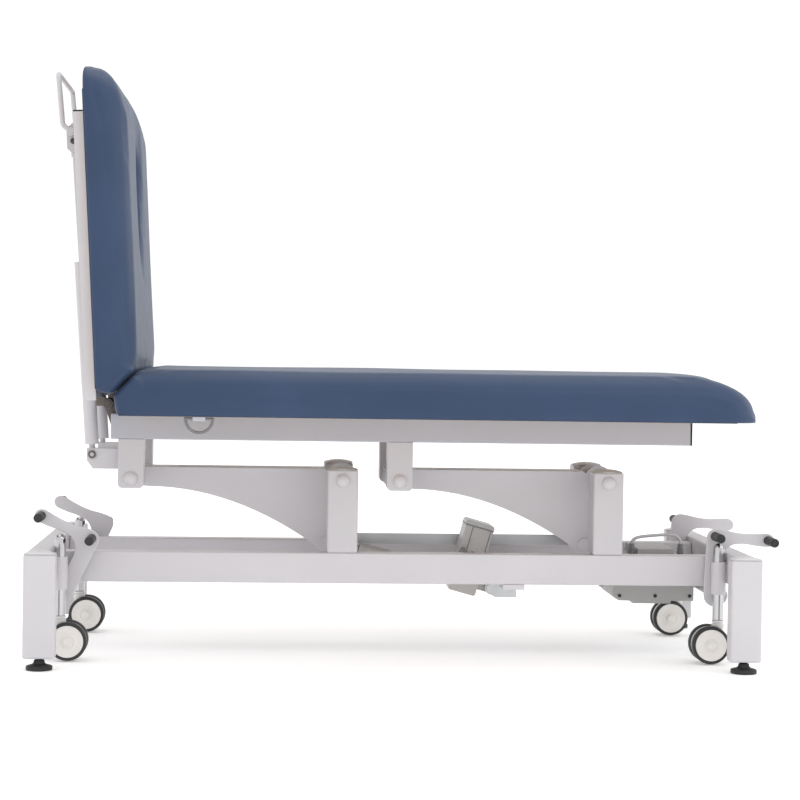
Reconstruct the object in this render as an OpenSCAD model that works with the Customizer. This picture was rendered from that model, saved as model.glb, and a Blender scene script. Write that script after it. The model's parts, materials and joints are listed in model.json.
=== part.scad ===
// Electric height-adjustable exam table: a two-section padded top on a pair of parallel lift
// arms, over a welded tube base with levelling feet and pedal-lowered twin-wheel casters.
// Millimetres. +X runs from the head end to the foot end, +Z is up, and the origin is on the
// floor below the middle of the outline. The backrest is modelled raised, as it is stored.

/* [Base] */
// Length of the base over its legs
base_len = 1400; // [1300:10:1500]
// Width of the base over its legs
base_w = 690; // [640:10:760]
// Side of the square leg tube
leg_tube = 60; // [50:5:70]
// Height of the leg tops above the floor
leg_top = 218; // [214:2:230]
// Gap between the floor and the bottom of a leg
foot_h = 22; // [20:1:26]
// Half the width over the two side rails
rail_half = 166; // [160:2:176]
// Height of the side rails' top face
rail_top = 208; // [206:1:212]

/* [Lift] */
// Distance from the middle of the base to the head upright
head_upright = 98; // [90:1:106]
// Distance between the two lift pivots
pivot_gap = 528; // [520:1:536]
// Height of the lift pivots
pivot_z = 351; // [346:1:356]
// Length of a lift arm between its pivots
arm_len = 416; // [410:1:420]
// Depth of the crank pin below the lift pivot
crank_drop = 133; // [130:1:136]
// Distance of the crank pin towards the head end from the lift pivot
crank_back = 28; // [26:1:30]

/* [Top] */
// Width of both pads
pad_w = 660; // [600:10:680]
// Height of the top of the seat pad
pad_top = 566; // [564:1:572]
// Thickness of the seat pad
seat_pad_t = 86; // [82:1:86]
// Thickness of the backrest pad
back_pad_t = 78; // [70:1:80]
// Length of the backrest from its hinge to its tip
back_len = 650; // [620:1:690]
// Angle of the raised backrest above flat
back_angle = 86.9; // [80:0.1:88]
// Height of the seat frame rails
seat_rail_h = 50; // [48:1:50]

/* [Casters] */
// Wheel diameter of the twin-wheel casters
wheel_d = 75; // [70:1:75]
// Distance of each caster stem from the middle of the base along X
stem_x = 645; // [643:1:645]
// Distance of each caster stem from the centre line
stem_y = 205; // [204:1:210]
// How far the pedal levers push the casters down
caster_stroke = 10; // [8:1:10]

/* [Hidden] */
$fn = 64;

white = "#e6e6e8";
steel = "#b9bcc0";
black = "#1c1d1f";
grey = "#a9abae";
navy = "#4a5975";

// Fits: a shaft turns in a bore this much larger in radius
fit = 0.05;
wall = 3;

// Pedal levers: pegs and tilt, measured from the lever's pivot shaft
lever_z = 133;
peg_in = -12;
peg_out = 95;
peg_up = 116;
peg_r = 9;
lever_end_r = 13;
peg_end_y = 242;
foot_lever_tilt = 4;
head_lever_tilt = -24;
lever_turn = 28;
lever_plate_y = 178;
lever_plate_t = 6;
lever_shaft_r = 8;
cam_start_r = 8;
cam_pin_r = 3;
cam_slot_r = 3.2;

// The outline's middle lies between the outer leg face and the outer pedal peg
peg_tip = stem_x + peg_out * cos(foot_lever_tilt) + peg_up * sin(foot_lever_tilt) + lever_end_r;
mid = (base_len / 2 - peg_tip) / 2;

leg_x = base_len / 2 - leg_tube / 2;
leg_depth = 36;
leg_y = base_w / 2 - leg_depth / 2;
beam_t = 40;
beam_h = 60;
beam_in = base_len / 2 - beam_t;
rail_h = 60;
rail_t = 40;
rail_in = rail_half - rail_t;
rail_bottom = rail_top - rail_h;

// Lift geometry, in X and Z
head_pivot = [mid - head_upright, pivot_z];
foot_pivot = [head_pivot[0] + pivot_gap, pivot_z];
upright_top = 372;
upright_in = rail_half - leg_tube;
shaft_r = 10;
pivot_tube_r = 21;
end_tube_r = 12.5;
arm_half = 40;
arm_plate = 5;
arm_edge = 13;
arm_cover = 3;
crank_r = 24;
crank_bolt_r = 6;
crank_head_r = 12.7;
bar_y = 46;
bar_t = 8;

// Actuator: rear pivot, and the crank pin that its rod drives
act_pivot = [mid + 214, 124];
crank_pin = head_pivot + [-crank_back, -crank_drop];
act_span = crank_pin - act_pivot;
act_len = norm(act_span);
act_rise = atan2(act_span[1], -act_span[0]);
act_tube_r = 17;
act_rod_r = 10;
act_tube_end = 284;

// Seat frame
seat_z = pad_top - seat_pad_t - 2 - seat_rail_h;
rail_x0 = mid - 554;
rail_x1 = mid + 593;
bracket_w = 50;
bracket_z = 332;
head_bracket_x = head_pivot[0] - arm_len;
foot_bracket_x = foot_pivot[0] - arm_len;
board_t = 14;
board_inset = 10;

// Backrest hinge, and its fittings as [distance from the hinge, height over it when flat]
hinge = [mid - 560, 497];
back_under = pad_top - hinge[1] - back_pad_t;
hinge_pin_r = 6;
hinge_knuckle_r = 10;
hinge_clear_r = 24;
bevel_gap = 1.5;
spring_top = [516, -47];
spring_foot = [mid - 592, 396];
spring_y = 125;
spring_eye_w = 14;
handle_pivot = [534, -50];
handle_y = 143;

// Where a backrest fitting stands while the backrest is raised
function raised(p) = hinge + [
  p[1] * sin(back_angle) - p[0] * cos(back_angle),
  p[0] * sin(back_angle) + p[1] * cos(back_angle)
];
spring_head = raised(spring_top);
spring_span = spring_head - spring_foot;
spring_len = norm(spring_span);
spring_lean = atan2(-spring_span[0], spring_span[1]);

// ---- shared shapes ----

// A block between two corners
module block(a, b) {
  translate(a) cube(b - a);
}

// A rod along Y through a point of the XZ plane
module rod_y(p, r, y0, y1) {
  translate([p[0], y0, p[1]]) rotate([-90, 0, 0]) cylinder(r = r, h = y1 - y0);
}

// A flat XZ outline given thickness from y0 to y1
module plate_y(y0, y1) {
  translate([0, y1, 0]) rotate([90, 0, 0]) linear_extrude(y1 - y0) children();
}

// The same thing on the near and the far side
module both_sides() {
  children();
  mirror([0, 1, 0]) children();
}

// A hollow rectangular tube along X
module tube_x(x0, x1, y0, y1, z0, z1) {
  difference() {
    block([x0, y0, z0], [x1, y1, z1]);
    block([x0 - 1, y0 + wall, z0 + wall], [x1 + 1, y1 - wall, z1 - wall]);
  }
}

// A hollow rectangular tube along Y
module tube_y(x0, x1, y0, y1, z0, z1) {
  difference() {
    block([x0, y0, z0], [x1, y1, z1]);
    block([x0 + wall, y0 - 1, z0 + wall], [x1 - wall, y1 + 1, z1 - wall]);
  }
}

// A hollow rectangular tube along Z
module tube_z(x0, x1, y0, y1, z0, z1) {
  difference() {
    block([x0, y0, z0], [x1, y1, z1]);
    block([x0 + wall, y0 + wall, z0 - 1], [x1 - wall, y1 - wall, z1 + 1]);
  }
}

// A rectangle with all four corners rounded
module round_rect(w, h, r) {
  translate([-w / 2 + r, -h / 2]) square([w - 2 * r, h]);
  translate([-w / 2, -h / 2 + r]) square([w, h - 2 * r]);
  for (sx = [-1, 1], sy = [-1, 1]) translate([sx * (w / 2 - r), sy * (h / 2 - r)]) circle(r);
}

// A straight bar outline with round ends
module slot(a, b, r) {
  d = b - a;
  n = [-d[1], d[0]] / norm(d) * r;
  polygon([a + n, a - n, b - n, b + n]);
  translate(a) circle(r);
  translate(b) circle(r);
}

// A round rod between two points
module strut(a, b, r) {
  d = b - a;
  translate(a)
    rotate([0, acos(d[2] / norm(d)), atan2(d[1], d[0])])
      cylinder(r = r, h = norm(d));
}

// A cable: an eight-sided tube swept along a smooth curve through route points
function spline(a, b, c, d, t) = 0.5 * (2 * b + (c - a) * t + (2 * a - 5 * b + 4 * c - d) * t * t
  + (3 * b - a - 3 * c + d) * t * t * t);
function smooth_route(p, n) = [
  for (i = [0 : len(p) - 2], k = [0 : n - 1])
    spline(p[max(i - 1, 0)], p[i], p[i + 1], p[min(i + 2, len(p) - 1)], k / n),
  p[len(p) - 1]
];
function unit(v) = v / norm(v);
function ring(p, dir, r, sides) =
  let (side = unit(cross(dir, abs(dir[1]) > 0.9 ? [1, 0, 0] : [0, 1, 0])), up = cross(side, dir))
  [for (k = [0 : sides - 1]) p + r * (cos(360 * k / sides) * side + sin(360 * k / sides) * up)];

module cable(route, r) {
  sides = 8;
  p = smooth_route(route, 4);
  n = len(p);
  pts = [
    for (i = [0 : n - 1])
      each ring(p[i], unit(p[min(i + 1, n - 1)] - p[max(i - 1, 0)]), r, sides)
  ];
  skin = [
    for (i = [0 : n - 2], k = [0 : sides - 1])
      [i * sides + k, i * sides + (k + 1) % sides, (i + 1) * sides + (k + 1) % sides,
        (i + 1) * sides + k]
  ];
  caps = [[for (k = [sides - 1 : -1 : 0]) k], [for (k = [0 : sides - 1]) (n - 1) * sides + k]];
  polyhedron(points = pts, faces = concat(skin, caps), convexity = 4);
}

// ---- base ----

// Two side rails
module side_rails() {
  color(white) both_sides()
    tube_x(mid - beam_in, mid + beam_in, rail_in, rail_half, rail_bottom, rail_top);
}

module shaft_hanger(x) {
  hanger_w = 30;
  difference() {
    plate_y(rail_in + 12, rail_in + 18) {
      translate([x - hanger_w / 2, lever_z]) square([hanger_w, rail_bottom - lever_z]);
      translate([x, lever_z]) circle(hanger_w / 2);
    }
    rod_y([x, lever_z], lever_shaft_r + fit, rail_in, rail_half);
  }
}

// The beam across each end
module end_beams() {
  span = leg_y - leg_depth / 2;
  color(white) for (s = [-1, 1]) {
    x = mid + s * (base_len / 2 - beam_t / 2);
    tube_y(x - beam_t / 2, x + beam_t / 2, -span, span, leg_top - beam_h, leg_top);
  }
}

// Four legs, each with a threaded block inside for its levelling foot
module legs() {
  nut_h = 16;
  half = leg_tube / 2;
  deep = leg_depth / 2;
  color(white) for (sx = [-1, 1], sy = [-1, 1]) {
    x = mid + sx * leg_x;
    y = sy * leg_y;
    tube_z(x - half, x + half, y - deep, y + deep, foot_h, leg_top);
    difference() {
      block([x - half + wall, y - deep + wall, foot_h],
        [x + half - wall, y + deep - wall, foot_h + nut_h]);
      translate([x, y, foot_h - 1]) cylinder(r = 5 + fit, h = nut_h + 2);
    }
  }
}

// Four uprights that carry the lift pivots
module uprights() {
  half = leg_tube / 2;
  color(white) both_sides() for (p = [head_pivot, foot_pivot]) {
    difference() {
      tube_z(p[0] - half, p[0] + half, upright_in, rail_half, rail_top, upright_top);
      rod_y(p, shaft_r, upright_in - 1, rail_half + 1);
    }
  }
}

// A shallow domed plug for the top of a square tube
module dome_cap(x, y, z, w, d) {
  rise = 6;
  big = (pow(w / 2, 2) + pow(rise, 2)) / (2 * rise);
  intersection() {
    block([x - w / 2, y - d / 2, z], [x + w / 2, y + d / 2, z + rise]);
    translate([x, y, z + rise - big * 1.25]) sphere(big * 1.25, $fn = 128);
  }
}

// Domed caps on the legs and on the uprights
module tube_caps() {
  color(white) {
    for (sx = [-1, 1], sy = [-1, 1])
      dome_cap(mid + sx * leg_x, sy * leg_y, leg_top, leg_tube, leg_depth);
    for (p = [head_pivot, foot_pivot], sy = [-1, 1])
      dome_cap(p[0], sy * (rail_half + upright_in) / 2, upright_top, leg_tube, leg_tube);
  }
}

// Sleeves that guide the caster stems, each welded to its end beam
module caster_sleeves() {
  sleeve_r = 14.5;
  z0 = 137;
  z1 = 201;
  color(white) for (sx = [-1, 1], sy = [-1, 1]) {
    x = mid + sx * stem_x;
    weld = mid + sx * beam_in;
    difference() {
      union() {
        translate([x, sy * stem_y, z0]) cylinder(r = sleeve_r, h = z1 - z0);
        block([min(weld, weld - sx * 5), sy * stem_y - 6, z0 + 26],
          [max(weld, weld - sx * 5), sy * stem_y + 6, z1 - 4]);
      }
      translate([x, sy * stem_y, z0 - 1]) cylinder(r = 11 + fit, h = z1 - z0 + 2);
    }
  }
  color(white) both_sides() for (s = [-1, 1]) shaft_hanger(mid + s * stem_x);
}

// A fixed shaft with a round cover on each end
module capped_shaft(p) {
  cap_r = 13;
  cap_rise = 7;
  big = (pow(cap_r, 2) + pow(cap_rise, 2)) / (2 * cap_rise);
  rod_y(p, shaft_r, -rail_half, rail_half);
  both_sides() intersection() {
    rod_y(p, cap_r, rail_half, rail_half + 3 + cap_rise);
    translate([p[0], rail_half + 3 + cap_rise - big, p[1]]) sphere(big);
  }
}

module lift_pivot_shafts() {
  color(white) {
    capped_shaft(head_pivot);
    capped_shaft(foot_pivot);
  }
}

// Tie plate under the rails that carries the actuator, a cross tube between the rails, and two
// straps that hold the control box
module cross_members() {
  tube_mid = head_pivot[0];
  color(white) {
    block([mid + 222, -rail_half, rail_bottom - 10], [mid + 265, rail_half, rail_bottom]);
    tube_y(tube_mid - 20, tube_mid + 20, -rail_in, rail_in, rail_bottom + 4, rail_bottom + 38);
    both_sides()
      block([mid + 500, box_y, rail_bottom - 3], [mid + 580, rail_in + 14, rail_bottom]);
  }
}

// Two ears below the tie plate that hold the actuator's rear pin
module actuator_mount() {
  ear_y = 17;
  color(grey) {
    both_sides() difference() {
      plate_y(ear_y, ear_y + 5) {
        polygon([
          [mid + 222, rail_bottom - 10], [mid + 266, rail_bottom - 10], [mid + 266, 106],
          [mid + 222, 106], [act_pivot[0], 111]
        ]);
        translate(act_pivot) circle(13);
        polygon([
          act_pivot + [0, 13], act_pivot + [0, -13], [mid + 226, 106], [mid + 226, rail_bottom - 10]
        ]);
      }
      rod_y(act_pivot, 6, ear_y - 1, ear_y + 6);
    }
    rod_y(act_pivot, 6, -ear_y - 9, ear_y + 9);
    both_sides() rod_y(act_pivot, 10, ear_y + 5, ear_y + 10);
  }
}

// ---- control box ----

box_x0 = mid + 455;
box_x1 = mid + 622;
box_y = 80;
box_wall = 3;
tray_z = 108;
shoulder_z = 196;
box_top = 213;
gland_x = [mid + 497, mid + 597];
gland_y = -60;
gland_h = 30;
lead_y = 52;
lead_z = 130;

// The tray's side outline: its head-end lower corner is well rounded
module tray_outline(inset) {
  r = 18 - inset;
  x0 = box_x0 + inset;
  x1 = box_x1 - inset;
  z0 = tray_z + inset;
  translate([x0 + r, z0]) square([x1 - x0 - r, rail_bottom - z0]);
  translate([x0, z0 + r]) square([x1 - x0, rail_bottom - z0 - r]);
  translate([x0 + r, z0 + r]) circle(r);
}

// Upper housing, open below
module control_box() {
  color(grey) difference() {
    union() {
      block([mid + 470, -box_y, rail_bottom], [mid + 612, box_y, shoulder_z]);
      block([mid + 507, -box_y + 8, shoulder_z], [mid + 583, box_y - 8, box_top]);
    }
    block([mid + 470 + box_wall, -box_y + box_wall, rail_bottom - 1],
      [mid + 612 - box_wall, box_y - box_wall, shoulder_z - box_wall]);
    block([mid + 507 + box_wall, -box_y + 8 + box_wall, rail_bottom],
      [mid + 583 - box_wall, box_y - 8 - box_wall, box_top - box_wall]);
  }
}

// Lower tray, bolted up to the rails and open above
module control_box_lid() {
  color(grey) difference() {
    union() {
      plate_y(-box_y, box_y) tray_outline(0);
      block([mid + 498, -box_y + 4, tray_z - 6], [mid + 576, box_y - 4, tray_z]);
    }
    plate_y(-box_y + box_wall, box_y - box_wall) intersection() {
      tray_outline(box_wall);
      translate([box_x0, tray_z]) square([box_x1 - box_x0, rail_bottom - box_wall - tray_z]);
    }
    block([mid + 473, -box_y + box_wall, rail_bottom - 10],
      [mid + 609, box_y - box_wall, rail_bottom + 1]);
    screw_shanks();
    translate([box_x0 - 1, lead_y, lead_z]) rotate([0, 90, 0]) cylinder(r = 6, h = box_wall + 2);
    translate([box_x1 - box_wall - 1, 0, lead_z])
      rotate([0, 90, 0])
        cylinder(r = 6, h = box_wall + 2);
  }
}

screw_x = [mid + 470, mid + 543, mid + 614];

module screw_shanks() {
  both_sides() for (x = screw_x) rod_y([x, 118], 2, box_y - 8, box_y);
}

// Screws along both sides of the tray
module box_screws() {
  color(black) {
    screw_shanks();
    both_sides() for (x = screw_x) rod_y([x, 118], 3.6, box_y, box_y + 2.2);
  }
}

// Control board and transformer, sealed inside
module control_board() {
  z = tray_z + box_wall;
  color("darkgreen") {
    block([mid + 480, -70, z], [mid + 605, 70, z + 2]);
    block([mid + 520, -35, z + 2], [mid + 575, 35, z + 50]);
    for (y = [-56, -44, 44, 56]) translate([mid + 592, y, z + 2]) cylinder(r = 5, h = 16);
  }
}

// Ribbed strain reliefs on the shoulders, the lead's bush, and the mains gland on the end
module strain_reliefs() {
  color(grey) {
    for (x = gland_x) translate([x, gland_y, shoulder_z]) ribbed_relief();
    translate([box_x0, lead_y, lead_z]) rotate([0, -90, 0]) bush(6, 9, 6);
    translate([box_x1, 0, lead_z]) rotate([0, 90, 0]) bush(6, 11, 8);
  }
}

module ribbed_relief() {
  ribs = 4;
  bore_r = 4.2;
  pitch = gland_h / ribs;
  rotate_extrude() {
    for (i = [0 : ribs - 1])
      polygon([
        [bore_r, i * pitch], [9 - i, i * pitch], [8.4 - i, i * pitch + pitch * 0.55],
        [6 - i * 0.6, i * pitch + pitch * 0.55], [6 - i * 0.6, (i + 1) * pitch],
        [bore_r, (i + 1) * pitch]
      ]);
  }
}

module bush(plug_r, head_r, h) {
  difference() {
    union() {
      translate([0, 0, -box_wall]) cylinder(r = plug_r, h = box_wall);
      cylinder(r = head_r, h = h);
    }
    translate([0, 0, -box_wall - 1]) cylinder(r = 4.2, h = box_wall + h + 2);
  }
}

// The short lead between the two strain reliefs, and the lead to the actuator
box_lead = [
  [gland_x[0], gland_y, shoulder_z], [gland_x[0], gland_y, 212], [gland_x[0], gland_y, 226],
  [gland_x[0] + 12, gland_y, 235], [gland_x[0] + 42, gland_y, 239],
  [gland_x[0] + 74, gland_y, 241], [gland_x[1] - 8, gland_y, 238], [gland_x[1], gland_y, 226],
  [gland_x[1], gland_y, 212], [gland_x[1], gland_y, shoulder_z]
];
motor_lead = [
  [box_x0 + 4, lead_y, lead_z], [box_x0 - 30, lead_y, lead_z], [mid + 380, 62, 134],
  [mid + 320, 66, 148], [mid + 280, 64, 158], [mid + 250, 50, 164], [mid + 232, 28, 176],
  [mid + 220, 10, 187], [mid + 205, 0, 190]
];

module box_cables() {
  color(grey) {
    cable(box_lead, 3.1);
    cable(motor_lead, 3.1);
  }
}

// ---- levelling feet ----

module levelling_foot(sx, sy) {
  color(black) translate([mid + sx * leg_x, sy * leg_y, 0]) {
    rotate_extrude() polygon([[0, 0], [24, 0], [25, 1.5], [25, 7], [23, 9], [11, 13], [9, 19], [0, 19]]);
    translate([0, 0, 18]) cylinder(r = 5, h = 52);
  }
}

module foot_head_near() { levelling_foot(-1, -1); }
module foot_head_far() { levelling_foot(-1, 1); }
module foot_end_near() { levelling_foot(1, -1); }
module foot_end_far() { levelling_foot(1, 1); }

// ---- pedal levers and casters ----

// The spiral slot in a lever plate: turning the lever by a degree moves the pin by one step
function cam_point(turn) =
  let (r = cam_start_r + caster_stroke * turn / lever_turn)
  [-r * sin(turn), -r * cos(turn)];
function cam_edge(turn, offset) =
  let (d = unit(cam_point(turn + 0.5) - cam_point(turn - 0.5)))
  cam_point(turn) + offset * [d[1], -d[0]];

module cam_slot() {
  step = 2;
  polygon(concat(
    [for (a = [0 : step : lever_turn]) cam_edge(a, cam_slot_r)],
    [for (a = [lever_turn : -step : 0]) cam_edge(a, -cam_slot_r)]
  ));
  for (a = [0, lever_turn]) translate(cam_point(a)) circle(cam_slot_r + 0.06);
}

// The lever plate seen from the near side, upright on its shaft
module lever_outline() {
  lobe_r = 24;
  corner_r = 14.5;
  middle = (peg_in + peg_out) / 2;
  circle(lobe_r);
  polygon([
    [-lobe_r, 0], [peg_in - corner_r, peg_up], [peg_in + 20, peg_up - 28], [8, 80], [12, 25],
    [20, 12]
  ]);
  translate([peg_in, peg_up]) circle(corner_r);
  translate([peg_out, peg_up]) circle(lever_end_r);
  polygon([
    [peg_in, peg_up + corner_r], [middle, peg_up + 10], [peg_out, peg_up + lever_end_r],
    [peg_out, peg_up - lever_end_r], [middle, peg_up - 12], [peg_in + 24, peg_up - 18],
    [peg_in, peg_up - 40]
  ]);
}

module lever(s, tilt) {
  at = [mid + s * stem_x, 0, lever_z];
  color(white) {
    both_sides() difference() {
      translate(at) plate_y(lever_plate_y, lever_plate_y + lever_plate_t)
        rotate(-tilt * s)
          mirror([s < 0 ? 1 : 0, 0])
            lever_outline();
      translate(at) plate_y(lever_plate_y - 1, lever_plate_y + lever_plate_t + 1) cam_slot();
    }
    rod_y([at[0], lever_z], lever_shaft_r, -lever_plate_y, lever_plate_y);
  }
}

module lever_pegs(s, tilt) {
  y0 = lever_plate_y + lever_plate_t;
  color(black) translate([mid + s * stem_x, 0, lever_z]) both_sides() for (x = [peg_in, peg_out]) {
    a = tilt * s;
    p = [x * s * cos(a) + peg_up * sin(a), peg_up * cos(a) - x * s * sin(a)];
    rod_y(p, peg_r - 1.5, y0, y0 + 2);
    rod_y(p, peg_r, y0 + 2, peg_end_y - 2);
    rod_y(p, peg_r - 1.5, peg_end_y - 2, peg_end_y);
  }
}

module head_lever() { lever(-1, head_lever_tilt); }
module head_lever_pegs() { lever_pegs(-1, head_lever_tilt); }
module foot_lever() { lever(1, foot_lever_tilt); }
module foot_lever_pegs() { lever_pegs(1, foot_lever_tilt); }

stem_r = 11;
stem_foot = 87;
head_stem_top = 245;
foot_stem_top = 238;
spigot_r = 4;
spigot_z = 62;
axle_r = 4;
axle_z = wheel_d / 2 + 1;
trail = 17;

// Two chromed stems at one end, each with the pin that follows the lever's slot
module stems(s, top) {
  color(steel) both_sides() translate([mid + s * stem_x, stem_y, 0]) {
    translate([0, 0, stem_foot]) cylinder(r = stem_r, h = top - stem_r - stem_foot);
    translate([0, 0, top - stem_r]) sphere(stem_r);
    translate([0, 0, spigot_z]) cylinder(r = spigot_r, h = stem_foot - spigot_z + 1);
    rod_y([0, lever_z - cam_start_r], cam_pin_r, lever_plate_y + 0.6 - stem_y, -stem_r + 2);
  }
}

module head_stems() { stems(-1, head_stem_top); }
module foot_stems() { stems(1, foot_stem_top); }

// The swivelling body of one twin-wheel caster, with its axle
module caster_body(s, sy) {
  fin = 7;
  color(grey) translate([mid + s * stem_x, sy * stem_y, 0]) {
    difference() {
      union() {
        translate([0, 0, wheel_d + 3]) cylinder(r = 12, h = stem_foot - 1 - wheel_d - 3);
        plate_y(-fin, fin) {
          slot([-s * trail, axle_z], [-s * trail * 0.4, wheel_d - 11], 13);
          translate([-11, wheel_d - 22]) square([22, 26]);
        }
        rod_y([-s * trail, axle_z], axle_r, -28, 28);
      }
      translate([0, 0, spigot_z - 2]) cylinder(r = spigot_r + fit, h = 40);
    }
    both_sides() rod_y([-s * trail, axle_z], 8, 27, 29);
  }
}

module caster_head_near() { caster_body(-1, -1); }
module caster_head_far() { caster_body(-1, 1); }
module caster_foot_near() { caster_body(1, -1); }
module caster_foot_far() { caster_body(1, 1); }

// One caster's pair of wheels: tyre and disc each
module wheel_pair(s, sy) {
  tread = wheel_d / 2;
  rim = tread - 6.5;
  translate([mid + s * (stem_x - trail), sy * stem_y, axle_z]) rotate([-90, 0, 0]) {
    for (z = [-17, 17]) translate([0, 0, z]) {
      color(black) rotate_extrude($fn = 96) polygon([
        [rim, -8], [tread - 2, -8], [tread, -5.5], [tread, 5.5], [tread - 2, 8], [rim, 8]
      ]);
      color(grey) rotate_extrude($fn = 96) polygon([
        [axle_r + fit, -8.5], [rim, -8.5], [rim, 8.5], [axle_r + fit, 8.5]
      ]);
    }
  }
}

module wheels_head_near() { wheel_pair(-1, -1); }
module wheels_head_far() { wheel_pair(-1, 1); }
module wheels_foot_near() { wheel_pair(1, -1); }
module wheels_foot_far() { wheel_pair(1, 1); }

// ---- lift arms ----

// Side plate of a lift arm, with the lift pivot at the origin: a wing that deepens as a
// parabola towards the crank pin
module arm_outline() {
  tip = arm_len + 22;
  start = arm_len - 30;
  drop = 23;
  curve = 104 / pow(317, 2);
  steps = 14;
  last = 50;
  polygon(concat(
    [[28, arm_edge], [-tip, arm_edge], [-tip, -14], [-tip + 6, -20]],
    [
      for (i = [0 : steps])
        let (x = -start + (start - last) * i / steps) [x, -drop - curve * pow(x + start, 2)]
    ],
    [[-crank_back, -crank_drop - crank_r], [-crank_back + 20, -crank_drop - 12], [28, -24]]
  ));
  circle(28);
  translate([-crank_back, -crank_drop]) circle(crank_r);
}

// Two side plates and a cover with a long hand hole
module arm_shell(p) {
  hole_x = [-332, -258];
  color(white) translate([p[0], 0, p[1]]) difference() {
    union() {
      both_sides() plate_y(arm_half - arm_plate, arm_half) arm_outline();
      block([-arm_len - 22, -arm_half - 4, arm_edge],
        [-pivot_tube_r - 9, arm_half + 4, arm_edge + arm_cover]);
    }
    translate([0, 0, arm_edge - 1]) linear_extrude(arm_cover + 2)
      slot([hole_x[0] + 12, 0], [hole_x[1] - 12, 0], 12);
    rod_y([0, 0], pivot_tube_r, -arm_half - 5, arm_half + 5);
    rod_y([-arm_len, 0], end_tube_r, -arm_half - 5, arm_half + 5);
    rod_y([-crank_back, -crank_drop], crank_bolt_r, -arm_half - 5, arm_half + 5);
  }
}

// Pivot tube, end tube and the two short crank bolts of one arm
module arm_tubes(p) {
  color(white) translate([p[0], 0, p[1]]) {
    difference() {
      rod_y([0, 0], pivot_tube_r, -upright_in + 1, upright_in - 1);
      rod_y([0, 0], shaft_r + fit, -upright_in, upright_in);
    }
    difference() {
      rod_y([-arm_len, 0], end_tube_r, -rail_half + bracket_w + 1, rail_half - bracket_w - 1);
      rod_y([-arm_len, 0], shaft_r + fit, -rail_half, rail_half);
    }
    crank = [-crank_back, -crank_drop];
    rod_y(crank, crank_bolt_r, -arm_half, -arm_half + arm_plate + 2);
    rod_y(crank, crank_head_r, -arm_half - 6, -arm_half);
    rod_y(crank, crank_bolt_r, arm_half - arm_plate - 2, bar_y + bar_t + 1);
    rod_y(crank, crank_head_r, bar_y + bar_t + 1, bar_y + bar_t + 6);
    rod_y(crank, 10, arm_half, bar_y - 0.5);
  }
}

module head_arm_shell() { arm_shell(head_pivot); }
module head_arm_tubes() { arm_tubes(head_pivot); }
module foot_arm_shell() { arm_shell(foot_pivot); }
module foot_arm_tubes() { arm_tubes(foot_pivot); }

// Flat bar that makes both arms turn together
module tie_bar() {
  far_pin = crank_pin + [pivot_gap, 0];
  color(grey) difference() {
    plate_y(bar_y, bar_y + bar_t) slot(crank_pin, far_pin, 11);
    for (p = [crank_pin, far_pin]) rod_y(p, crank_bolt_r + fit, bar_y - 1, bar_y + bar_t + 1);
  }
}

// ---- actuator, drawn lying along -X from its rear pin ----

module along_actuator() {
  translate([act_pivot[0], 0, act_pivot[1]]) rotate([0, act_rise, 0]) children();
}

act_x0 = 30;
act_x1 = 88;
act_z0 = -24;
act_z1 = 124;
act_half = 38;

// Gear and motor housing, with the rear eye and the lead's socket
module actuator_housing() {
  color(grey) along_actuator() {
    difference() {
      union() {
        plate_y(-act_half, act_half)
          translate([-(act_x0 + act_x1) / 2, (act_z0 + act_z1) / 2])
            round_rect(act_x1 - act_x0, act_z1 - act_z0, 5);
        plate_y(-12, 12) slot([0, 0], [-act_x0 - 4, 0], 11);
      }
      rod_y([0, 0], 6 + fit, -13, 13);
      block([-act_x1 + 6, -act_half + 4, act_z0 + 6], [-act_x0 - 6, act_half - 4, act_z1 - 6]);
      rod_x(act_tube_r - 4, act_x1 - 10, act_x1 + 1);
      translate([0, 0, 60]) rod_x(9, act_x0 - 1, act_x0 + 7);
    }
  }
}

// A rod along the actuator's own length
module rod_x(r, x0, x1) {
  translate([-x1, 0, 0]) rotate([0, 90, 0]) cylinder(r = r, h = x1 - x0);
}

// Motor, worm shaft and wheel, and the spindle that they turn
module actuator_drive() {
  mid_x = (act_x0 + act_x1) / 2;
  color(steel) along_actuator() {
    translate([-mid_x, 0, 40]) cylinder(r = 22, h = 68);
    translate([-mid_x, 0, 14]) cylinder(r = 5, h = 25);
    rod_x(13, mid_x - 8, mid_x + 8);
    rod_x(6, mid_x + 8, act_tube_end - 20);
  }
}

// Outer tube with its front guide
module actuator_tube() {
  color(grey) along_actuator() difference() {
    rod_x(act_tube_r, act_x1, act_tube_end);
    rod_x(act_rod_r + 3.5, act_x1 - 1, act_tube_end - 8);
    rod_x(act_rod_r + fit, act_tube_end - 9, act_tube_end + 1);
  }
}

// Hollow push rod with its front eye and cross pin
module actuator_rod() {
  color(steel) along_actuator() {
    difference() {
      union() {
        rod_x(act_rod_r, act_tube_end - 150, act_len - 8);
        rod_y([-act_len, 0], 15, -14, 14);
      }
      rod_x(act_rod_r - 3, act_tube_end - 151, act_len - 26);
    }
    rod_y([-act_len, 0], 8, -30, -14);
    rod_y([-act_len, 0], 8, 14, 30);
  }
}

// ---- seat frame ----

module seat_rails() {
  color(white) both_sides()
    tube_x(rail_x0, rail_x1, rail_in, rail_half, seat_z, seat_z + seat_rail_h);
}

module seat_crossbars() {
  bar = 40;
  z0 = seat_z + 5;
  color(white) for (x = [rail_x0 + 24 + bar / 2, foot_bracket_x, rail_x1 - bar])
    tube_y(x - bar / 2, x + bar / 2, -rail_in, rail_in, z0, z0 + bar);
}

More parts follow.
